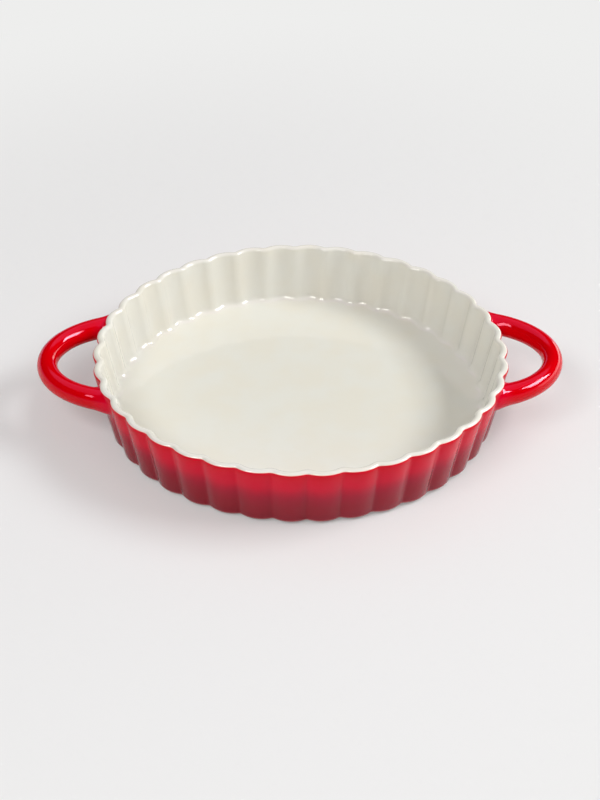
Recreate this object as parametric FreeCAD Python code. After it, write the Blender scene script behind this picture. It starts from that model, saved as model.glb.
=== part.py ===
import FreeCAD, Part
import math
import os

# Round baking dish with a fluted, outward leaning wall and two loop handles,
# fired as one body. Millimetres; z is up from the table, the origin lies in the
# middle of the foot ring's footprint and x runs through both handles.

Vector = FreeCAD.Vector
UP = Vector(0, 0, 1)

# Overall
HEIGHT = 43.5                   # top of the rounded rim, before it is cut into strips
WALL = 4.8                      # across the wall, square to it
FLOOR_TOP = 6.5                 # where the food lies
BODY_LIFT = 2.0                 # the scalloped bottom edge stands this far off the table

# Flutes, measured on the outside; one crest looks along each handle
FLUTES = 38
RIM_CREST_RADIUS = 131.3        # widest place of the rim
WALL_FLARE = 8.2                # the bottom corner, before it is rounded, stands this far inside the rim
FLUTE_DEPTH = 2.4               # at the rim; the flutes narrow with the wall towards the base
GROOVE_RADIUS = 3.2             # rounding at the bottom of a groove, at the rim

# Corners that run round the body, each cut into level strips to keep the faces few
BASE_ROUNDING = 1.3
FLOOR_FILLET = 4.5
RIM_STRIPS = 3
BASE_STRIPS = 1
FLOOR_STRIPS = 2

# Foot ring
FOOT_INSET = 14.1               # middle of the ring, inside the bottom corner
FOOT_WIDTH = 5.0
FOOT_EMBED = 1.5                # run of the ring up into the floor

# Loop handles: an oval bar bent along an ellipse, with straight legs into the wall
FINGER_GAP = 22.4               # clear between the rim and the bar, at the middle of the handle
HANDLE_INSET = 22.3             # centre of the bar's ellipse, inside the rim
HANDLE_HALF_SPREAD = 42.5       # half the ellipse across the handle
HANDLE_BEND = math.radians(69)  # the bend runs this far either way from the tip
HANDLE_LEG = 15.0
HANDLE_HALF_WIDTH = 6.5         # bar, seen from above
HANDLE_HALF_HEIGHT = 6.8        # bar, seen from the side
HANDLE_DROP = 1.8               # top of the bar below the rim
LEG_SWELL = 1.1                 # the bar is thicker by this factor at its buried ends
BEND_SECTIONS = 9               # ovals that the bend is drawn through

BASE_CREST_RADIUS = RIM_CREST_RADIUS - WALL_FLARE
FOOT_RADIUS = BASE_CREST_RADIUS - FOOT_INSET
HANDLE_CENTRE_X = RIM_CREST_RADIUS - HANDLE_INSET
HANDLE_REACH = HANDLE_INSET + FINGER_GAP + HANDLE_HALF_WIDTH

HALF_PITCH = math.pi / FLUTES
RIM_BEAD = WALL / 2
RIM_CENTRE_Z = HEIGHT - RIM_BEAD
RIM_MID_CREST = RIM_CREST_RADIUS - RIM_BEAD


def wallLean():
    """Angle between the wall and the upright, with the wall's own slant thickness allowed for."""
    rise = RIM_CENTRE_Z - BODY_LIFT
    lean = 0.0
    for _ in range(8):
        baseMidCrest = BASE_CREST_RADIUS - RIM_BEAD / math.cos(lean)
        lean = math.atan((RIM_MID_CREST - baseMidCrest) / rise)
    return lean


LEAN = wallLean()
HALF_WALL = RIM_BEAD / math.cos(LEAN)       # half the wall, measured level


def station(z):
    """Lobe and groove arcs of the wall's middle line at height z.

    Each arc is (centre, radius, direction of its middle, half of its angle).
    """
    crest = RIM_MID_CREST - (RIM_CENTRE_Z - z) * math.tan(LEAN)
    narrowing = crest / RIM_MID_CREST
    grooveRadius = (GROOVE_RADIUS + HALF_WALL) * narrowing
    grooveCentre = crest - FLUTE_DEPTH * narrowing + grooveRadius
    reach = crest + grooveRadius
    # the lobe's centre lies where lobe and groove arcs touch without a corner
    lobeCentre = (grooveCentre ** 2 - reach ** 2) / (2 * (grooveCentre * math.cos(HALF_PITCH) - reach))
    lobeRadius = crest - lobeCentre
    across = grooveCentre * math.sin(HALF_PITCH)
    along = grooveCentre * math.cos(HALF_PITCH) - lobeCentre
    lobeHalf = math.atan2(across, along)
    grooveHalf = lobeHalf - HALF_PITCH
    lobe = (Vector(lobeCentre, 0, z), lobeRadius, 0.0, lobeHalf)
    groove = (polar(grooveCentre, HALF_PITCH, z), grooveRadius, HALF_PITCH + math.pi, grooveHalf)
    return lobe, groove


def polar(radius, angle, z=0.0):
    return Vector(radius * math.cos(angle), radius * math.sin(angle), z)


def arcEdges(z, offset, height):
    """The lobe edge and groove edge of one flute at a station, moved outward by offset."""
    lobe, groove = station(z)
    edges = []
    for (centre, radius, middle, half), sign in ((lobe, 1), (groove, -1)):
        run = radius + sign * offset
        place = Vector(centre.x, centre.y, height)
        # both arcs are drawn in the same sense round the body
        ends = [place + polar(run, middle + sign * turn) for turn in (-half, 0.0, half)]
        edges.append(Part.Arc(*ends).toShape())
    return edges


def aroundBody(shapes):
    """Repeat one flute's shapes for every flute."""
    copies = []
    for index in range(FLUTES):
        for shape in shapes:
            copy = shape.copy()
            copy.rotate(Vector(0, 0, 0), UP, math.degrees(2 * HALF_PITCH * index))
            copies.append(copy)
    return copies


def flutedFace(level):
    """Level face that fills the fluted outline at one level."""
    return Part.Face(Part.Wire(aroundBody(arcEdges(*level))))


def corner(z, offset, height, radius, start, sweep, strips):
    """Levels on a rounded corner, whose arc has its centre at the offset and height."""
    turns = [start + sweep * index / strips for index in range(strips + 1)]
    return [(z, offset + radius * math.cos(turn), height + radius * math.sin(turn)) for turn in turns]


def wallProfile():
    """The wall's outline from the underside over the rim to the floor.

    Each level is the height of its station, the offset from the wall's middle line
    and its own height. A corner's centre lies back by the tangent length of its
    rounding between a level plane and the leaning wall.
    """
    quarter = math.pi / 2 - LEAN
    baseBack = BASE_ROUNDING * math.tan(quarter / 2)
    floorBack = FLOOR_FILLET * math.tan(quarter / 2)
    base = corner(BODY_LIFT, HALF_WALL - baseBack, BODY_LIFT + BASE_ROUNDING,
                  BASE_ROUNDING, -math.pi / 2, quarter, BASE_STRIPS)
    rim = corner(RIM_CENTRE_Z, 0.0, RIM_CENTRE_Z, RIM_BEAD, -LEAN, math.pi, RIM_STRIPS)
    floor = corner(FLOOR_TOP, -HALF_WALL - floorBack, FLOOR_TOP + FLOOR_FILLET,
                   FLOOR_FILLET, -LEAN, -quarter, FLOOR_STRIPS)
    return base + rim + floor


def flutedBody():
    levels = wallProfile()
    flute = []
    for low, high in zip(levels, levels[1:]):
        flute += [Part.makeRuledSurface(a, b) for a, b in zip(arcEdges(*low), arcEdges(*high))]
    shell = Part.makeShell(aroundBody(flute) + [flutedFace(levels[0]), flutedFace(levels[-1])])
    shell.sewShape()
    body = Part.Solid(shell)
    if body.Volume < 0:
        body.reverse()
    return body


def wallCore():
    """A plain cone along the middle of the wall, run on above the rim: it ends the bars inside the wall."""
    low, high = FLOOR_TOP, HEIGHT + FLOOR_FILLET
    middle = RIM_MID_CREST - FLUTE_DEPTH / 2
    radii = [middle - (RIM_CENTRE_Z - z) * math.tan(LEAN) for z in (low, high)]
    return Part.makeCone(radii[0], radii[1], high - low, Vector(0, 0, low))


def footRing():
    inner, outer = FOOT_RADIUS - FOOT_WIDTH / 2, FOOT_RADIUS + FOOT_WIDTH / 2
    top = BODY_LIFT + FOOT_EMBED
    return Part.makeCylinder(outer, top).cut(Part.makeCylinder(inner, top))


def oval(place, along, swell):
    """The bar's section, standing upright and square to the bar."""
    edge = Part.Ellipse(Vector(0, 0, 0), HANDLE_HALF_HEIGHT * swell, HANDLE_HALF_WIDTH * swell).toShape()
    edge.rotate(Vector(0, 0, 0), Vector(0, 1, 0), -90)
    edge.rotate(Vector(0, 0, 0), UP, math.degrees(math.atan2(along.y, along.x)))
    edge.translate(place)
    return Part.Wire(edge)


def handle():
    """The loop on the +x side, with its legs still running through the wall."""
    level = HEIGHT - HANDLE_DROP - HANDLE_HALF_HEIGHT
    places, directions = [], []
    for index in range(BEND_SECTIONS):
        angle = HANDLE_BEND * (2 * index / (BEND_SECTIONS - 1) - 1)
        places.append(Vector(HANDLE_CENTRE_X + HANDLE_REACH * math.cos(angle),
                             HANDLE_HALF_SPREAD * math.sin(angle), level))
        directions.append(Vector(-HANDLE_REACH * math.sin(angle),
                                 HANDLE_HALF_SPREAD * math.cos(angle), 0).normalize())
    bend = [oval(place, along, 1.0) for place, along in zip(places, directions)]
    firstLeg = oval(places[0] - directions[0] * HANDLE_LEG, directions[0], LEG_SWELL)
    lastLeg = oval(places[-1] + directions[-1] * HANDLE_LEG, directions[-1], LEG_SWELL)
    return Part.makeLoft([firstLeg] + bend + [lastLeg], True, True)


def bakingDish():
    right = handle().cut(wallCore())
    left = right.copy()
    left.rotate(Vector(0, 0, 0), UP, 180)
    return flutedBody().fuse([right, left, footRing()]).Solids[0]


os.makedirs("parts", exist_ok=True)
dish = bakingDish()
dish.exportStep("parts/baking_dish.step")
print("baking dish:", len(dish.Solids), "solid,", len(dish.Faces), "faces, valid", dish.isValid(),
      ", %.1f cubic centimetres" % (dish.Volume / 1000))
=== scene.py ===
import math

import bpy
from mathutils import Matrix, Vector


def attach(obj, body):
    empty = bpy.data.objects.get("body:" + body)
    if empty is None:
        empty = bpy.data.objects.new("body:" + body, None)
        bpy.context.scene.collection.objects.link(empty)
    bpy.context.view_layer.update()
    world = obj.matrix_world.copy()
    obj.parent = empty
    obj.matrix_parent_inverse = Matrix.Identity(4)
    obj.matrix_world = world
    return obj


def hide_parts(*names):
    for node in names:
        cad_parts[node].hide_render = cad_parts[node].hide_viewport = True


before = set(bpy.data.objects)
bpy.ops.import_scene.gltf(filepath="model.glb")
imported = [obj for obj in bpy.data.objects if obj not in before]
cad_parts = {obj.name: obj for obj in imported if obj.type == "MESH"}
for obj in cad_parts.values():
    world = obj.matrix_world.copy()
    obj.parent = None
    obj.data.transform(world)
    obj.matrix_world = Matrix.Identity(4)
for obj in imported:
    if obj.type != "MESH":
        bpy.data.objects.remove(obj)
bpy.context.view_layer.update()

mm = 0.001
print("frame loaded:", ", ".join(sorted(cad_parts)))

dish = {  # millimetres, as in the part's own source
    "flutes": 38,
    "height": 43.5,
    "wall": 4.8,
    "floorTop": 6.5,
    "lift": 2.0,            # underside above the table
    "rimCrest": 131.3,
    "flare": 8.2,           # the base crest stands this far inside the rim crest
    "fluteDepth": 2.4,
    "grooveRadius": 3.2,
    "baseRounding": 1.3,
    "floorFillet": 4.5,
    "footRadius": 109.0,
    "footWidth": 5.0,
    "footEdge": 0.9,        # rounding of the bare ring
    "footCove": (0.5, 0.4),  # glaze in the corner between ring and underside, outward and down
    "edgeSteps": 4,
    "lobeSteps": 10,        # mesh steps over half a lobe
    "grooveSteps": 5,
    "baseSteps": 6,         # steps round each corner, and on the flanks between them
    "outerSteps": 6,
    "rimSteps": 20,
    "innerSteps": 4,
    "floorSteps": 8,
    "nearTop": 0.98,        # the outer face is followed up to this share of the rim bead
    "creamEdge": 34.0,      # degrees round the rim bead where the cream glaze ends, on a lobe
    "creamDip": 0.3,        # the cream runs this much lower in a groove
}

halfPitch = math.pi / dish["flutes"]
bead = dish["wall"] / 2
beadZ = dish["height"] - bead
beadCrest = dish["rimCrest"] - bead


def wallLean():
    lean = 0.0
    for _ in range(8):
        baseCrest = dish["rimCrest"] - dish["flare"] - bead / math.cos(lean)
        lean = math.atan((beadCrest - baseCrest) / (beadZ - dish["lift"]))
    return lean


lean = wallLean()
halfWall = bead / math.cos(lean)


def fluteArcs(z):
    # lobe and groove circles of the wall's middle line, which touch without a corner
    crest = beadCrest - (beadZ - z) * math.tan(lean)
    shrink = crest / beadCrest
    grooveRadius = (dish["grooveRadius"] + halfWall) * shrink
    grooveCentre = crest - dish["fluteDepth"] * shrink + grooveRadius
    reach = crest + grooveRadius
    lobeCentre = (grooveCentre ** 2 - reach ** 2) / (2 * (grooveCentre * math.cos(halfPitch) - reach))
    lobeHalf = math.atan2(grooveCentre * math.sin(halfPitch),
                          grooveCentre * math.cos(halfPitch) - lobeCentre)
    return lobeCentre, crest - lobeCentre, lobeHalf, grooveCentre, grooveRadius


def fluteLine(z, offset):
    # points of one flute from groove to groove, pushed outward by offset
    lobeCentre, lobeRadius, lobeHalf, grooveCentre, grooveRadius = fluteArcs(z)
    half = []
    for step in range(dish["lobeSteps"] + 1):
        turn = lobeHalf * step / dish["lobeSteps"]
        run = lobeRadius + offset
        half.append((lobeCentre + run * math.cos(turn), run * math.sin(turn)))
    for step in range(1, dish["grooveSteps"] + 1):
        turn = halfPitch + math.pi + (lobeHalf - halfPitch) * (1 - step / dish["grooveSteps"])
        run = grooveRadius - offset
        half.append((grooveCentre * math.cos(halfPitch) + run * math.cos(turn),
                     grooveCentre * math.sin(halfPitch) + run * math.sin(turn)))
    return [(x, -y) for x, y in reversed(half[1:])] + half


def outerOffset(z):
    # outer face of the wall and rim bead, as an offset from the middle line
    beadStart = beadZ - bead * math.sin(lean)
    if z < beadStart:
        return z, halfWall
    up = min((z - beadZ) / bead, dish["nearTop"])
    return beadZ, bead * math.sqrt(1 - up * up)


def outerRadius(angle, z):
    # how far the outer face stands from the axis in one direction
    station, offset = outerOffset(z)
    lobeCentre, lobeRadius, lobeHalf, grooveCentre, grooveRadius = fluteArcs(station)
    turn = abs((angle + halfPitch) % (2 * halfPitch) - halfPitch)
    run = lobeRadius + offset
    touch = math.atan2(run * math.sin(lobeHalf), lobeCentre + run * math.cos(lobeHalf))
    if turn <= touch:
        return lobeCentre * math.cos(turn) + math.sqrt(run ** 2 - (lobeCentre * math.sin(turn)) ** 2)
    aside = halfPitch - turn
    run = grooveRadius - offset
    return grooveCentre * math.cos(aside) - math.sqrt(run ** 2 - (grooveCentre * math.sin(aside)) ** 2)


def corner(z, offset, height, radius, start, sweep, steps):
    turns = [start + sweep * step / steps for step in range(steps + 1)]
    return [(z, offset + radius * math.cos(turn), height + radius * math.sin(turn)) for turn in turns]


def wallLevels():
    quarter = math.pi / 2 - lean
    baseBack = dish["baseRounding"] * math.tan(quarter / 2)
    floorBack = dish["floorFillet"] * math.tan(quarter / 2)
    base = corner(dish["lift"], halfWall - baseBack, dish["lift"] + dish["baseRounding"],
                  dish["baseRounding"], -math.pi / 2, quarter, dish["baseSteps"])
    rim = corner(beadZ, 0.0, beadZ, bead, -lean, math.pi, dish["rimSteps"])
    floor = corner(dish["floorTop"], -halfWall - floorBack, dish["floorTop"] + dish["floorFillet"],
                   dish["floorFillet"], -lean, -quarter, dish["floorSteps"])
    return base, rim, floor


def between(low, high, steps):
    # rows on the straight flanks, so that no face is much longer than it is wide
    return [tuple(a + (b - a) * step / steps for a, b in zip(low, high)) for step in range(1, steps)]


def fluteRows():
    # rows of points from the middle of the underside over the rim to the middle of the floor
    base, rim, floor = wallLevels()
    levels = base + between(base[-1], rim[0], dish["outerSteps"]) + rim
    levels += between(rim[-1], floor[0], dish["innerSteps"]) + floor
    fluted = [[(x, y, height) for x, y in fluteLine(z, offset)] for z, offset, height in levels]
    turns = [math.atan2(y, x) for x, y, _ in fluted[0]]

    def circle(radius, z):
        return [(radius * math.cos(turn), radius * math.sin(turn), z) for turn in turns]

    def blend(a, b, share):
        return [tuple(p + (q - p) * share for p, q in zip(u, v)) for u, v in zip(a, b)]

    inner = dish["footRadius"] - dish["footWidth"] / 2
    outer = dish["footRadius"] + dish["footWidth"] / 2
    edge, lift = dish["footEdge"], dish["lift"]
    coveOut, coveDown = dish["footCove"]
    under = [circle(inner * share, lift) for share in (0.06, 0.3, 0.6, 0.85, 0.97)]
    ring = [circle(inner - coveOut, lift), circle(inner, lift - coveDown)]
    quarters = [math.pi / 2 * step / dish["edgeSteps"] for step in range(dish["edgeSteps"] + 1)]
    for turn in quarters:
        ring.append(circle(inner + edge * (1 - math.cos(turn)), edge * (1 - math.sin(turn))))
    ring.append(circle(dish["footRadius"], 0.0))
    for turn in quarters:
        ring.append(circle(outer - edge * (1 - math.sin(turn)), edge * (1 - math.cos(turn))))
    ring += [circle(outer, lift - coveDown), circle(outer + coveOut, lift)]
    skirt = [blend(ring[-1], fluted[0], share) for share in (0.3, 0.7)]
    centre = [(0.0, 0.0, dish["floorTop"])]
    floorRim = fluted[-1]
    floorRows = [[(x * share, y * share, z) for x, y, z in floorRim]
                 for share in (0.96, 0.85, 0.65, 0.4, 0.2, 0.05)]
    rows = [[(0.0, 0.0, lift)]] + under + ring + skirt + fluted + floorRows + [centre]
    firstRing = 1 + len(under)
    clayRows = range(firstRing + 2, firstRing + len(ring) - 2)
    # first row of the rim bead
    edgeRow = firstRing + len(ring) + len(skirt) + len(base) + dish["outerSteps"] - 1
    return rows, clayRows, edgeRow


def buildFluteSector():
    rows, clayRows, edgeRow = fluteRows()
    columns = len(rows[1])
    middle = columns // 2
    crest = [row[middle] if len(row) > 1 else row[0] for row in rows]
    lengths = [0.0]
    for a, b in zip(crest, crest[1:]):
        lengths.append(lengths[-1] + math.dist(a, b))
    edgeLength = lengths[edgeRow] + bead * (lean + math.radians(dish["creamEdge"]))
    lineX = [x for x, y in fluteLine(beadZ, 0.0)]
    dips = [(max(lineX) - x) / (max(lineX) - min(lineX)) for x in lineX]

    points, toCream, starts = [], [], []
    for row, length in zip(rows, lengths):
        starts.append(len(points))
        for index, point in enumerate(row):
            points.append(Vector(point) * mm)
            dip = dips[index] if len(row) > 1 else 0.0
            toCream.append(length - edgeLength + dish["creamDip"] * dip ** 1.5)
    faces, clay, cream = [], [], []
    for row in range(len(rows) - 1):
        low, high = starts[row], starts[row + 1]
        for i in range(columns - 1):
            if len(rows[row]) == 1:
                faces.append((low, high + i + 1, high + i))
            elif len(rows[row + 1]) == 1:
                faces.append((low + i, low + i + 1, high))
            else:
                faces.append((low + i, low + i + 1, high + i + 1, high + i))
            clay.append(row in clayRows)
            cream.append(sum(toCream[index] for index in faces[-1]) / len(faces[-1]) > glaze["edgeAt"])
    mesh = bpy.data.meshes.new("fluteSector")
    mesh.from_pydata(points, [], faces)
    mesh.attributes.new("toCream", "FLOAT", "POINT").data.foreach_set("value", toCream)
    mesh.attributes.new("bareClay", "BOOLEAN", "FACE").data.foreach_set("value", clay)
    mesh.attributes.new("creamSide", "BOOLEAN", "FACE").data.foreach_set("value", cream)
    return bpy.data.objects.new("fluteSector", mesh)


handle = {  # millimetres
    "centre": 109.0,        # of the bar's ellipse, out from the axis
    "reach": 51.2,
    "spread": 43.0,
    "bend": 69.0,           # degrees either way from the tip, then the bar runs straight
    "leg": 15.0,            # length of that straight run for each 1 of run past the bend
    "halfWidth": 6.5,
    "halfHeight": 6.8,
    "top": 41.7,
    "swell": 0.12,          # thicker by this share where it meets the wall
    "swellFrom": 0.55,      # run at which that begins
    "fillet": 4.2,          # glaze and clay built up in the root
    "filletTop": 1.0,       # the same under the rim, where there is little room
    "hollow": 0.03,         # the fillet stays at least this far off the wall where it begins
    "past": 0.6,            # and goes no further than this above the top of the bar
    "filletSteps": 8,
    "around": 40,
    "bendRings": 44,
}


def barPlace(run):
    # centre and direction of the bar; run is 0 at the tip and +-1 at the ends of the bend,
    # and goes on from there along the legs
    level = handle["top"] - handle["halfHeight"]
    turn = math.radians(handle["bend"]) * max(-1.0, min(1.0, run))
    place = Vector((handle["centre"] + handle["reach"] * math.cos(turn),
                    handle["spread"] * math.sin(turn), level))
    along = Vector((-handle["reach"] * math.sin(turn), handle["spread"] * math.cos(turn), 0)).normalized()
    if abs(run) > 1:
        place += along * math.copysign((abs(run) - 1) * handle["leg"], run)
    return place, along


def barPoint(run, phase):
    place, along = barPlace(run)
    grow = 1 + handle["swell"] * max(0.0, min(1.0, abs(run) - handle["swellFrom"])) ** 2 / 0.5
    out = Vector((along.y, -along.x, 0))
    return place + out * (handle["halfWidth"] * grow * math.cos(phase)) \
        + Vector((0, 0, handle["halfHeight"] * grow * math.sin(phase)))


def rootFillet(phase):
    # how far the fillet reaches along the bar and over the wall, less under the rim
    upward = max(0.0, math.sin(phase)) ** 1.5
    return handle["fillet"] + (handle["filletTop"] - handle["fillet"]) * upward


def clearance(point):
    return math.hypot(point.x, point.y) - outerRadius(math.atan2(point.y, point.x), point.z)


def onWall(point, gap=0.0):
    radius = outerRadius(math.atan2(point.y, point.x), point.z) + gap
    return Vector((point.x, point.y, 0)).normalized() * radius + Vector((0, 0, point.z))


def wallHit(side, phase):
    # where the bar's skin meets the wall, found by halving
    near, far = 0.5, 2.2
    for _ in range(40):
        middle = (near + far) / 2
        if clearance(barPoint(side * middle, phase)) > 0:
            near = middle
        else:
            far = middle
    return side * near


def rootRings(side):
    # rings from the bar over a hollow fillet onto the wall, then a little way into it
    steps = handle["filletSteps"]
    rings = [[] for _ in range(steps + 2)]
    for index in range(handle["around"]):
        phase = 2 * math.pi * index / handle["around"]
        run = wallHit(side, phase)
        fillet = rootFillet(phase)
        hit = barPoint(run, phase)
        start = barPoint(run - side * fillet / handle["leg"], phase)
        place, along = barPlace(run)
        away = (hit - place) - along * (hit - place).dot(along)
        end = hit + away.normalized() * fillet
        end.z = min(end.z, handle["top"] + handle["past"])
        end = onWall(end)
        for step in range(steps + 1):
            u = step / steps
            point = start * (1 - u) ** 2 + hit * (2 * u * (1 - u)) + end * u ** 2
            lowest = handle["hollow"] * (1 - u)
            if clearance(point) < lowest:
                point = onWall(point, lowest)
            rings[step].append(point)
        rings[-1].append(onWall(end, -1.0))
    return rings


def buildHandle():
    right = rootRings(1)
    left = rootRings(-1)
    count = handle["around"]
    rightRuns = [wallHit(1, 2 * math.pi * i / count) for i in range(count)]
    leftRuns = [wallHit(-1, 2 * math.pi * i / count) for i in range(count)]
    rings = left[::-1]
    for step in range(1, handle["bendRings"]):
        share = step / handle["bendRings"]
        ring = []
        for i in range(count):
            phase = 2 * math.pi * i / count
            back = rootFillet(phase) / handle["leg"]
            first, last = leftRuns[i] + back, rightRuns[i] - back
            ring.append(barPoint(first + (last - first) * share, phase))
        rings.append(ring)
    rings += right
    points = [point * mm for ring in rings for point in ring]
    faces = []
    for row in range(len(rings) - 1):
        for i in range(count):
            j = (i + 1) % count
            faces.append((row * count + i, row * count + j, (row + 1) * count + j, (row + 1) * count + i))
    for row, turned in ((0, True), (len(rings) - 1, False)):
        centre = sum(rings[row], Vector()) / count
        points.append(onWall(centre, -1.0) * mm)
        hub = len(points) - 1
        for i in range(count):
            j = (i + 1) % count
            face = (row * count + i, row * count + j, hub)
            faces.append(face[::-1] if turned else face)
    mesh = bpy.data.meshes.new("handleLoop")
    mesh.from_pydata(points, [], faces)
    mesh.flip_normals()
    # far below the cream glaze
    mesh.attributes.new("toCream", "FLOAT", "POINT").data.foreach_set("value", [-30.0] * len(points))
    return bpy.data.objects.new("handleLoop", mesh)


def addNode(tree, kind, links=None, **settings):
    node = tree.nodes.new(kind)
    for key, value in settings.items():
        setattr(node, key, value)
    for name, source in (links or {}).items():
        socket = node.inputs[name]
        if isinstance(source, bpy.types.NodeSocket):
            tree.links.new(source, socket)
        else:
            socket.default_value = source
    return node


def ringOfCopies(tree, shape, count):
    # so many copies of a shape, turned evenly round the axis
    index = addNode(tree, "GeometryNodeInputIndex")
    pitch = addNode(tree, "ShaderNodeMath", {0: math.tau, 1: count}, operation="DIVIDE")
    turn = addNode(tree, "ShaderNodeMath", {0: index.outputs[0], 1: pitch.outputs[0]}, operation="MULTIPLY")
    angles = addNode(tree, "ShaderNodeCombineXYZ", {"Z": turn.outputs[0]})
    rotation = addNode(tree, "FunctionNodeEulerToRotation", {0: angles.outputs[0]})
    points = addNode(tree, "GeometryNodePoints", {"Count": count})
    copies = addNode(tree, "GeometryNodeInstanceOnPoints",
                     {"Points": points.outputs[0], "Instance": shape, "Rotation": rotation.outputs[0]})
    return addNode(tree, "GeometryNodeRealizeInstances", {"Geometry": copies.outputs[0]}).outputs[0]


def dishTree():
    tree = bpy.data.node_groups.new("dishFromFlute", "GeometryNodeTree")
    tree.interface.new_socket("Flute", in_out="INPUT", socket_type="NodeSocketGeometry")
    for name, kind in (("Flutes", "Int"), ("Handle", "Object"), ("Handles", "Int"), ("Weld", "Float"),
                       ("Red Glaze", "Material"), ("Cream Glaze", "Material"), ("Clay", "Material")):
        tree.interface.new_socket(name, in_out="INPUT", socket_type="NodeSocket" + kind)
    tree.interface.new_socket("Dish", in_out="OUTPUT", socket_type="NodeSocketGeometry")
    given = addNode(tree, "NodeGroupInput").outputs
    walls = ringOfCopies(tree, given["Flute"], given["Flutes"])
    weld = addNode(tree, "GeometryNodeMergeByDistance", {"Geometry": walls, "Distance": given["Weld"]})
    loop = addNode(tree, "GeometryNodeObjectInfo", {"Object": given["Handle"]})
    loops = ringOfCopies(tree, loop.outputs["Geometry"], given["Handles"])
    whole = addNode(tree, "GeometryNodeJoinGeometry")
    tree.links.new(weld.outputs[0], whole.inputs[0])
    tree.links.new(loops, whole.inputs[0])
    smooth = addNode(tree, "GeometryNodeSetShadeSmooth", {"Geometry": whole.outputs[0]})
    shape = addNode(tree, "GeometryNodeSetMaterial", {
        "Geometry": smooth.outputs[0], "Material": given["Red Glaze"]})
    for mark, finish in (("creamSide", "Cream Glaze"), ("bareClay", "Clay")):
        there = addNode(tree, "GeometryNodeInputNamedAttribute", {"Name": mark}, data_type="BOOLEAN")
        shape = addNode(tree, "GeometryNodeSetMaterial", {
            "Geometry": shape.outputs[0], "Selection": there.outputs["Attribute"],
            "Material": given[finish]})
    addNode(tree, "NodeGroupOutput", {"Dish": shape.outputs[0]})
    return tree


def giveInputs(modifier, values):
    for item in modifier.node_group.interface.items_tree:
        if item.item_type == "SOCKET" and item.in_out == "INPUT" and item.name in values:
            modifier[item.identifier] = values[item.name]


def fired(r, g, b):
    # a colour as read on screen, made linear
    linear = [((c / 255 + 0.055) / 1.055) ** 2.4 if c > 10 else c / 255 / 12.92 for c in (r, g, b)]
    return tuple(linear) + (1.0,)


kiln = {
    "pinhole": 0.22,        # radius of a pinhole or speck, as a share of its cell
    "pinholeDepth": -0.3,
    "skinScale": 160.0,     # finest unevenness, waves to the metre
}


def kilnMarksGroup():
    # soft unevenness, pinholes and height of a fired skin, for every surface of the dish
    group = bpy.data.node_groups.new("kilnMarks", "ShaderNodeTree")
    for name, kind in (("Position", "Vector"), ("Cloud Size", "Float"), ("Speck Size", "Float"),
                       ("Speck Share", "Float")):
        group.interface.new_socket(name, in_out="INPUT", socket_type="NodeSocket" + kind)
    for name in ("Cloud", "Speck", "Height"):
        group.interface.new_socket(name, in_out="OUTPUT", socket_type="NodeSocketFloat")
    given = addNode(group, "NodeGroupInput").outputs
    cloudScale = addNode(group, "ShaderNodeMath", {0: 1.0, 1: given["Cloud Size"]}, operation="DIVIDE")
    cloud = addNode(group, "ShaderNodeTexNoise", {
        "Vector": given["Position"], "Scale": cloudScale.outputs[0], "Detail": 2.0})
    speckScale = addNode(group, "ShaderNodeMath", {0: 1.0, 1: given["Speck Size"]}, operation="DIVIDE")
    speck = addNode(group, "ShaderNodeTexVoronoi", {
        "Vector": given["Position"], "Scale": speckScale.outputs[0]})
    pick = addNode(group, "ShaderNodeMath", {0: speck.outputs["Color"], 1: given["Speck Share"]},
                   operation="LESS_THAN")
    near = addNode(group, "ShaderNodeMath", {0: speck.outputs["Distance"], 1: kiln["pinhole"]},
                   operation="LESS_THAN")
    mask = addNode(group, "ShaderNodeMath", {0: pick.outputs[0], 1: near.outputs[0]}, operation="MULTIPLY")
    skin = addNode(group, "ShaderNodeTexNoise", {
        "Vector": given["Position"], "Scale": kiln["skinScale"], "Detail": 1.0})
    sunk = addNode(group, "ShaderNodeMath", {
        0: mask.outputs[0], 1: kiln["pinholeDepth"], 2: skin.outputs[0]}, operation="MULTIPLY_ADD")
    addNode(group, "NodeGroupOutput", {
        "Cloud": cloud.outputs[0], "Speck": mask.outputs[0], "Height": sunk.outputs[0]})
    return group


glaze = {
    "cream": fired(229, 228, 219),
    "creamWarm": fired(229, 226, 214),
    "creamThin": fired(242, 214, 206),    # where it thins out over the red
    "wall": (                             # height in millimetres, colour: red turns burgundy downwards
        (3.0, fired(143, 31, 42)), (14.0, fired(149, 31, 43)), (19.0, fired(158, 28, 45)),
        (22.5, fired(169, 24, 46)), (26.0, fired(188, 20, 46)), (29.5, fired(208, 14, 45)),
        (33.0, fired(215, 8, 43)), (38.0, fired(215, 4, 37)), (44.0, fired(210, 0, 20)),
    ),
    "handle": fired(212, 0, 10),          # purer on the loops, where the coat is thicker
    "handleFrom": 131.5,                  # millimetres from the axis, where that begins
    "handleTo": 138.0,
    "thinGlazeAndHighlight": fired(196, 124, 122),      # lighter along the base edge: partly glaze drawn back from the edge, partly a painted highlight on the base rounding
    "edgeLineFrom": 2.2,                      # millimetres up, lower end of that line
    "edgeLineTo": 3.9,
    "edgeLineShare": 0.6,
    "sway": 0.005,                        # metres that the wall's colours rise and fall by
    "edgeAt": 0.17,                       # millimetres past the cream's edge where the two glazes meet
    "edge": 0.12,                         # millimetres either way that they blend over
    "waver": 0.35,                        # millimetres that their line runs uneven by
    "waverScale": 90.0,                   # waves to the metre
    "cloudSize": 0.022,                   # metres
    "speckSize": 0.0016,
    "speckShare": 0.012,
    "warmClouds": (0.35, 0.65),           # levels of the clouds between which the cream turns warm
    "thinning": (0.1, 0.9),               # millimetres past its edge between which the cream thickens
    "glossClouds": (0.3, 0.7),            # levels of the clouds between which the gloss changes
    "roughness": (0.02, 0.06),
    "bump": (0.25, 0.0002),               # strength, metres
    "refraction": 1.4,
    "redShine": (1.0, 0.43, 0.6, 1.0),    # the deep red swallows part of what it mirrors
}


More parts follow.
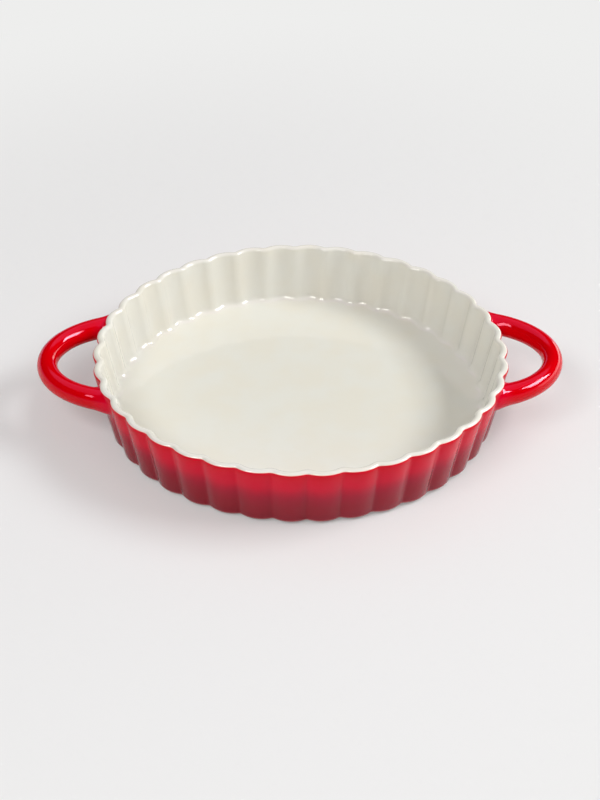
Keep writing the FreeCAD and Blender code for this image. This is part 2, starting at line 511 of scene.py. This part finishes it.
def placeMarks(tree, marks, place, piece):
    # the kiln marks at a position, in one piece's own sizes
    skin = addNode(tree, "ShaderNodeGroup", node_tree=marks)
    tree.links.new(place, skin.inputs["Position"])
    for socket, key in (("Cloud Size", "cloudSize"), ("Speck Size", "speckSize"),
                        ("Speck Share", "speckShare")):
        skin.inputs[socket].default_value = piece[key]
    return skin.outputs


def glazeGroup(marks):
    # colour, gloss and height of both glazes, which share one edge on the rim
    group = bpy.data.node_groups.new("firedGlaze", "ShaderNodeTree")
    for name, kind in (("Position", "Vector"), ("To Cream", "Float")):
        group.interface.new_socket(name, in_out="INPUT", socket_type="NodeSocket" + kind)
    for name, kind in (("Color", "Color"), ("Gloss", "Float"), ("Height", "Float")):
        group.interface.new_socket(name, in_out="OUTPUT", socket_type="NodeSocket" + kind)
    given = addNode(group, "NodeGroupInput").outputs
    skin = placeMarks(group, marks, given["Position"], glaze)
    height = addNode(group, "ShaderNodeSeparateXYZ", {0: given["Position"]}).outputs["Z"]
    sway = addNode(group, "ShaderNodeMath", {0: skin["Cloud"], 1: glaze["sway"], 2: height},
                   operation="MULTIPLY_ADD")
    low, high = glaze["wall"][0][0], glaze["wall"][-1][0]
    middle = glaze["sway"] / 2
    share = addNode(group, "ShaderNodeMapRange", {
        "Value": sway.outputs[0], "From Min": low * mm + middle, "From Max": high * mm + middle})
    ramp = addNode(group, "ShaderNodeValToRGB", {0: share.outputs[0]})
    stops = ramp.color_ramp.elements
    stops[0].color, stops[1].color = glaze["wall"][0][1], glaze["wall"][-1][1]
    for level, colour in glaze["wall"][1:-1]:
        stops.new((level - low) / (high - low)).color = colour
    # a lighter line along the base edge: partly thinner glaze, partly a painted highlight on the base
    # rounding
    line = addNode(group, "ShaderNodeMapRange", {
        "Value": height, "From Min": glaze["edgeLineFrom"] * mm, "From Max": glaze["edgeLineTo"] * mm})
    thinEdgeAndHighlight = addNode(group, "ShaderNodeValToRGB", {0: line.outputs[0]})
    lineStops = thinEdgeAndHighlight.color_ramp.elements
    lineStops[0].color = lineStops[1].color = (0, 0, 0, 1)
    lineStops.new(0.5).color = (glaze["edgeLineShare"],) * 3 + (1,)
    across = addNode(group, "ShaderNodeVectorMath", {0: given["Position"], 1: (1.0, 1.0, 0.0)},
                     operation="MULTIPLY")
    fromAxis = addNode(group, "ShaderNodeVectorMath", {0: across.outputs[0]}, operation="LENGTH")
    loops = addNode(group, "ShaderNodeMapRange", {
        "Value": fromAxis.outputs["Value"],
        "From Min": glaze["handleFrom"] * mm, "From Max": glaze["handleTo"] * mm})
    red = addNode(group, "ShaderNodeMix", {
        "Factor": loops.outputs[0], 6: ramp.outputs[0], 7: glaze["handle"]}, data_type="RGBA")
    outside = addNode(group, "ShaderNodeMix", {
        "Factor": thinEdgeAndHighlight.outputs[0], 6: red.outputs[2], 7: glaze["thinGlazeAndHighlight"]}, data_type="RGBA")
    waver = addNode(group, "ShaderNodeTexNoise", {
        "Vector": given["Position"], "Scale": glaze["waverScale"], "Detail": 1.0}).outputs[0]
    edge = addNode(group, "ShaderNodeMath", {0: waver, 1: glaze["waver"], 2: given["To Cream"]},
                   operation="MULTIPLY_ADD").outputs[0]
    isCream = addNode(group, "ShaderNodeMapRange", {
        "Value": edge, "From Min": glaze["edgeAt"] - glaze["edge"],
        "From Max": glaze["edgeAt"] + glaze["edge"]}).outputs[0]
    first, last = glaze["warmClouds"]
    warm = addNode(group, "ShaderNodeMapRange", {
        "Value": skin["Cloud"], "From Min": first, "From Max": last}).outputs[0]
    inside = addNode(group, "ShaderNodeMix", {"Factor": warm, 6: glaze["cream"], 7: glaze["creamWarm"]},
                     data_type="RGBA")
    first, last = glaze["thinning"]
    thick = addNode(group, "ShaderNodeMapRange", {
        "Value": edge, "From Min": first, "From Max": last}).outputs[0]
    cream = addNode(group, "ShaderNodeMix", {"Factor": thick, 6: glaze["creamThin"], 7: inside.outputs[2]},
                    data_type="RGBA")
    both = addNode(group, "ShaderNodeMix", {"Factor": isCream, 6: outside.outputs[2], 7: cream.outputs[2]},
                   data_type="RGBA")
    first, last = glaze["glossClouds"]
    sleek, dull = glaze["roughness"]
    rough = addNode(group, "ShaderNodeMapRange", {
        "Value": skin["Cloud"], "From Min": first, "From Max": last, "To Min": sleek, "To Max": dull})
    addNode(group, "NodeGroupOutput", {
        "Color": both.outputs[2], "Gloss": rough.outputs[0], "Height": skin["Height"]})
    return group


def addBump(tree, shader, height, size):
    strength, depth = size
    bump = addNode(tree, "ShaderNodeBump", {"Height": height, "Strength": strength, "Distance": depth})
    tree.links.new(bump.outputs[0], shader.inputs["Normal"])


def glazeMaterial(name, colours, shine):
    material = bpy.data.materials.new(name)
    material.use_nodes = True
    tree = material.node_tree
    shader = tree.nodes["Principled BSDF"]
    place = addNode(tree, "ShaderNodeTexCoord").outputs["Object"]
    toCream = addNode(tree, "ShaderNodeAttribute", attribute_name="toCream").outputs["Fac"]
    skin = addNode(tree, "ShaderNodeGroup", node_tree=colours)
    tree.links.new(place, skin.inputs["Position"])
    tree.links.new(toCream, skin.inputs["To Cream"])
    tree.links.new(skin.outputs["Color"], shader.inputs["Base Color"])
    tree.links.new(skin.outputs["Gloss"], shader.inputs["Roughness"])
    shader.inputs["Specular Tint"].default_value = shine
    shader.inputs["IOR"].default_value = glaze["refraction"]
    addBump(tree, shader, skin.outputs["Height"], glaze["bump"])
    return material


clay = {
    "pale": fired(214, 200, 178),
    "dark": fired(196, 178, 152),
    "speck": fired(150, 126, 100),
    "cloudSize": 0.009,     # metres
    "speckSize": 0.0009,
    "speckShare": 0.15,
    "roughness": 0.85,
    "bump": (0.6, 0.0003),
}


def clayMaterial(marks):
    material = bpy.data.materials.new("bareStoneware")
    material.use_nodes = True
    tree = material.node_tree
    shader = tree.nodes["Principled BSDF"]
    place = addNode(tree, "ShaderNodeTexCoord").outputs["Object"]
    skin = placeMarks(tree, marks, place, clay)
    tone = addNode(tree, "ShaderNodeMix", {"Factor": skin["Cloud"], 6: clay["pale"], 7: clay["dark"]},
                   data_type="RGBA")
    specked = addNode(tree, "ShaderNodeMix", {
        "Factor": skin["Speck"], 6: tone.outputs[2], 7: clay["speck"]}, data_type="RGBA")
    tree.links.new(specked.outputs[2], shader.inputs["Base Color"])
    shader.inputs["Roughness"].default_value = clay["roughness"]
    addBump(tree, shader, skin["Height"], clay["bump"])
    return material


def buildDish():
    sector, loop = buildFluteSector(), buildHandle()
    for piece in (sector, loop):
        bpy.context.scene.collection.objects.link(piece)
    marks = kilnMarksGroup()
    colours = glazeGroup(marks)
    modifier = sector.modifiers.new("dish", "NODES")
    modifier.node_group = dishTree()
    giveInputs(modifier, {"Flutes": dish["flutes"], "Handle": loop, "Handles": 2, "Weld": 0.01 * mm,
                          "Red Glaze": glazeMaterial("redGlaze", colours, glaze["redShine"]),
                          "Cream Glaze": glazeMaterial("creamGlaze", colours, (1.0, 1.0, 1.0, 1.0)),
                          "Clay": clayMaterial(marks)})
    bpy.context.view_layer.update()
    whole = bpy.data.meshes.new_from_object(sector.evaluated_get(bpy.context.evaluated_depsgraph_get()))
    whole.name = "bakingDish"
    for piece in (sector, loop):
        bpy.data.objects.remove(piece)
    made = bpy.data.objects.new("stonewareDish", whole)
    bpy.context.scene.collection.objects.link(made)
    return made


stonewareDish = buildDish()
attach(stonewareDish, "root")
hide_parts("baking_dish")
print("dish built:", len(stonewareDish.data.polygons), "faces")

studio = {
    "paper": fired(238, 238, 237),         # the even ground, far from the dish
    "floorColour": fired(233, 233, 233),
    "floorRoughness": 0.35,
    "floorSheen": 0.15,
    "floorHalf": 4.0,
    "worldColour": (1.0, 0.955, 0.91, 1.0),
    "worldStrength": 0.35,
    "lampColour": (0.975, 0.99, 1.0),
    "roomInGloss": (1.0, 0.5, 1.1, 1.0),  # colour of the room that the glaze mirrors
    "ceilingInGloss": 1.1,                # it has a pale ceiling
    "ceilingSide": (0.0, 0.22, 0.975),
    "ceilingEdge": (0.74, 0.80),          # cosines of the angles from its middle between which it begins
    "horizonInGloss": 0.8,                # and pale low down all round, with dark walls between the two
    "horizonEdge": (0.06, 0.22),          # sines of the heights between which that ends
    "even": 0.28,                         # share of the even ground that the camera sees on the floor, a painted glow that lightens the dish's shadow there
    "fade": (0.24, 0.62),                 # the floor turns into that ground between these distances
    "boxEdge": 0.02,                      # softness of a lamp's image in the glaze
    "boxDepth": 2.5,                      # the world counts one bounce more than the glaze that looks at it
    "lamps": (                            # name, place, width, height, watts, level of its image in the glaze
        ("keyRight", (2.32, 0.05, 1.90), 1.8, 0.9, 60.0, 36.0),
        ("fillFrontLeft", (-1.15, -1.64, 2.23), 1.7, 1.0, 37.0, 16.0),
        ("stripRight", (1.89, 0.88, 0.28), 3.4, 0.5, 6.0, 3.0),
    ),
}


def buildFloor():
    half = studio["floorHalf"]
    mesh = bpy.data.meshes.new("floor")
    corners = [(-half, -half, 0), (half, -half, 0), (half, half, 0), (-half, half, 0)]
    mesh.from_pydata(corners, [], [(0, 1, 2, 3)])
    floor = bpy.data.objects.new("floor", mesh)
    bpy.context.scene.collection.objects.link(floor)
    material = bpy.data.materials.new("paleFloor")
    material.use_nodes = True
    tree = material.node_tree
    shader = tree.nodes["Principled BSDF"]
    shader.inputs["Base Color"].default_value = studio["floorColour"]
    shader.inputs["Roughness"].default_value = studio["floorRoughness"]
    shader.inputs["Specular IOR Level"].default_value = studio["floorSheen"]
    place = addNode(tree, "ShaderNodeTexCoord").outputs["Object"]
    distance = addNode(tree, "ShaderNodeVectorMath", {0: place}, operation="LENGTH").outputs["Value"]
    near, far = studio["fade"]
    # for the camera the floor glows with this share of the even ground: painted light that lightens the
    # dish's shadow near it
    seen = addNode(tree, "ShaderNodeLightPath").outputs["Is Camera Ray"]
    least = addNode(tree, "ShaderNodeMath", {0: seen, 1: studio["even"]}, operation="MULTIPLY")
    fade = addNode(tree, "ShaderNodeMapRange", {
        "Value": distance, "From Min": near, "From Max": far, "To Min": least.outputs[0]},
        interpolation_type="SMOOTHSTEP")
    ground = addNode(tree, "ShaderNodeEmission", {"Color": studio["paper"]})
    mixed = addNode(tree, "ShaderNodeMixShader", {
        0: fade.outputs[0], 1: shader.outputs[0], 2: ground.outputs[0]})
    tree.links.new(mixed.outputs[0], tree.nodes["Material Output"].inputs["Surface"])
    mesh.materials.append(material)


def dotProduct(tree, direction, axis):
    product = addNode(tree, "ShaderNodeVectorMath", {0: direction, 1: axis}, operation="DOT_PRODUCT")
    return product.outputs["Value"]


def smoothBetween(tree, value, edges, first, last):
    # runs smoothly from first to last while the value passes between the edges
    return addNode(tree, "ShaderNodeMapRange", {
        "Value": value, "From Min": edges[0], "From Max": edges[1], "To Min": first, "To Max": last},
        interpolation_type="SMOOTHSTEP").outputs[0]


def softboxImage(tree, direction, place, width, height):
    # an oblong with soft edges where the lamp hangs, for the room that the glaze mirrors:
    # 1 inside it, 0 outside
    ahead = Vector(place).normalized()
    across = Vector((0, 0, 1)).cross(ahead).normalized()
    reach, soft = Vector(place).length, studio["boxEdge"]
    share = 1.0
    for axis, size in ((across, width), (ahead.cross(across), height)):
        half = math.sin(math.atan(size / 2 / reach))
        off = dotProduct(tree, direction, axis)
        away = addNode(tree, "ShaderNodeMath", {0: off}, operation="ABSOLUTE").outputs[0]
        share = smoothBetween(tree, away, (half - soft, half + soft), share, 0.0)
    facing = dotProduct(tree, direction, ahead)
    front = addNode(tree, "ShaderNodeMath", {0: facing, 1: 0.0}, operation="GREATER_THAN").outputs[0]
    return addNode(tree, "ShaderNodeMath", {0: front, 1: share}, operation="MULTIPLY").outputs[0]


def lightStudio():
    world = bpy.data.worlds.new("softRoom")
    bpy.context.scene.world = world
    world.use_nodes = True
    tree = world.node_tree
    room = tree.nodes["Background"]
    ray = addNode(tree, "ShaderNodeLightPath")
    direction = addNode(tree, "ShaderNodeTexCoord").outputs["Generated"]
    upward = dotProduct(tree, direction, studio["ceilingSide"])
    ceiling = smoothBetween(tree, upward, studio["ceilingEdge"], 0.0, studio["ceilingInGloss"])
    rise = addNode(tree, "ShaderNodeSeparateXYZ", {0: direction}).outputs["Z"]
    horizon = smoothBetween(tree, rise, studio["horizonEdge"], studio["horizonInGloss"], 0.0)
    gloss = addNode(tree, "ShaderNodeMath", {0: ceiling, 1: horizon}).outputs[0]
    tint = studio["roomInGloss"]
    straight = addNode(tree, "ShaderNodeMath", {0: ray.outputs["Ray Depth"], 1: studio["boxDepth"]},
                       operation="LESS_THAN").outputs[0]
    for _, place, width, height, _, shine in studio["lamps"]:
        box = softboxImage(tree, direction, place, width, height)
        shown = addNode(tree, "ShaderNodeMath", {0: box, 1: straight}, operation="MULTIPLY").outputs[0]
        gloss = addNode(tree, "ShaderNodeMath", {0: shown, 1: shine, 2: gloss},
                        operation="MULTIPLY_ADD").outputs[0]
        tint = addNode(tree, "ShaderNodeMix", {"Factor": shown, 6: tint, 7: studio["worldColour"]},
                       data_type="RGBA").outputs[2]
    glossy = ray.outputs["Is Glossy Ray"]
    level = addNode(tree, "ShaderNodeMapRange", {
        "Value": glossy, "To Min": studio["worldStrength"], "To Max": gloss})
    tree.links.new(level.outputs[0], room.inputs["Strength"])
    colour = addNode(tree, "ShaderNodeMix", {"Factor": glossy, 6: studio["worldColour"], 7: tint},
                     data_type="RGBA")
    tree.links.new(colour.outputs[2], room.inputs["Color"])
    pale = addNode(tree, "ShaderNodeBackground", {"Color": studio["paper"], "Strength": 1.0})
    seen = addNode(tree, "ShaderNodeMixShader", {
        0: ray.outputs["Is Camera Ray"], 1: room.outputs[0], 2: pale.outputs[0]})
    tree.links.new(seen.outputs[0], tree.nodes["World Output"].inputs["Surface"])
    for name, place, width, height, watts, _ in studio["lamps"]:
        lamp = bpy.data.lights.new(name, "AREA")
        lamp.shape, lamp.size, lamp.size_y, lamp.energy = "RECTANGLE", width, height, watts
        lamp.color = studio["lampColour"]
        holder = bpy.data.objects.new(name, lamp)
        holder.location = place
        holder.visible_camera = False
        holder.visible_glossy = False  # the glaze sees its image in the world instead
        holder.rotation_euler = (-Vector(place)).to_track_quat("-Z", "Y").to_euler()
        bpy.context.scene.collection.objects.link(holder)


view = {
    "lens": 85.0,
    "place": (-0.0366, -0.9938, 0.7055),
    "down": 35.20,          # degrees
    "aside": 2.1,
    "roll": 0.59,
}


def placeCamera():
    down, aside, roll = (math.radians(view[key]) for key in ("down", "aside", "roll"))
    forward = Vector((math.sin(aside) * math.cos(down), math.cos(aside) * math.cos(down), -math.sin(down)))
    right = Vector((math.cos(aside), -math.sin(aside), 0))
    up = right.cross(forward)
    right, up = right * math.cos(roll) + up * math.sin(roll), up * math.cos(roll) - right * math.sin(roll)
    data = bpy.data.cameras.new("camera")
    data.lens = view["lens"]
    data.clip_end = 50.0
    camera = bpy.data.objects.new("camera", data)
    camera.matrix_world = Matrix((right, up, -forward)).transposed().to_4x4()
    camera.location = view["place"]
    bpy.context.scene.collection.objects.link(camera)
    bpy.context.scene.camera = camera


buildFloor()
lightStudio()
placeCamera()
bpy.context.scene.view_settings.view_transform = "Standard"
print("studio and camera set")
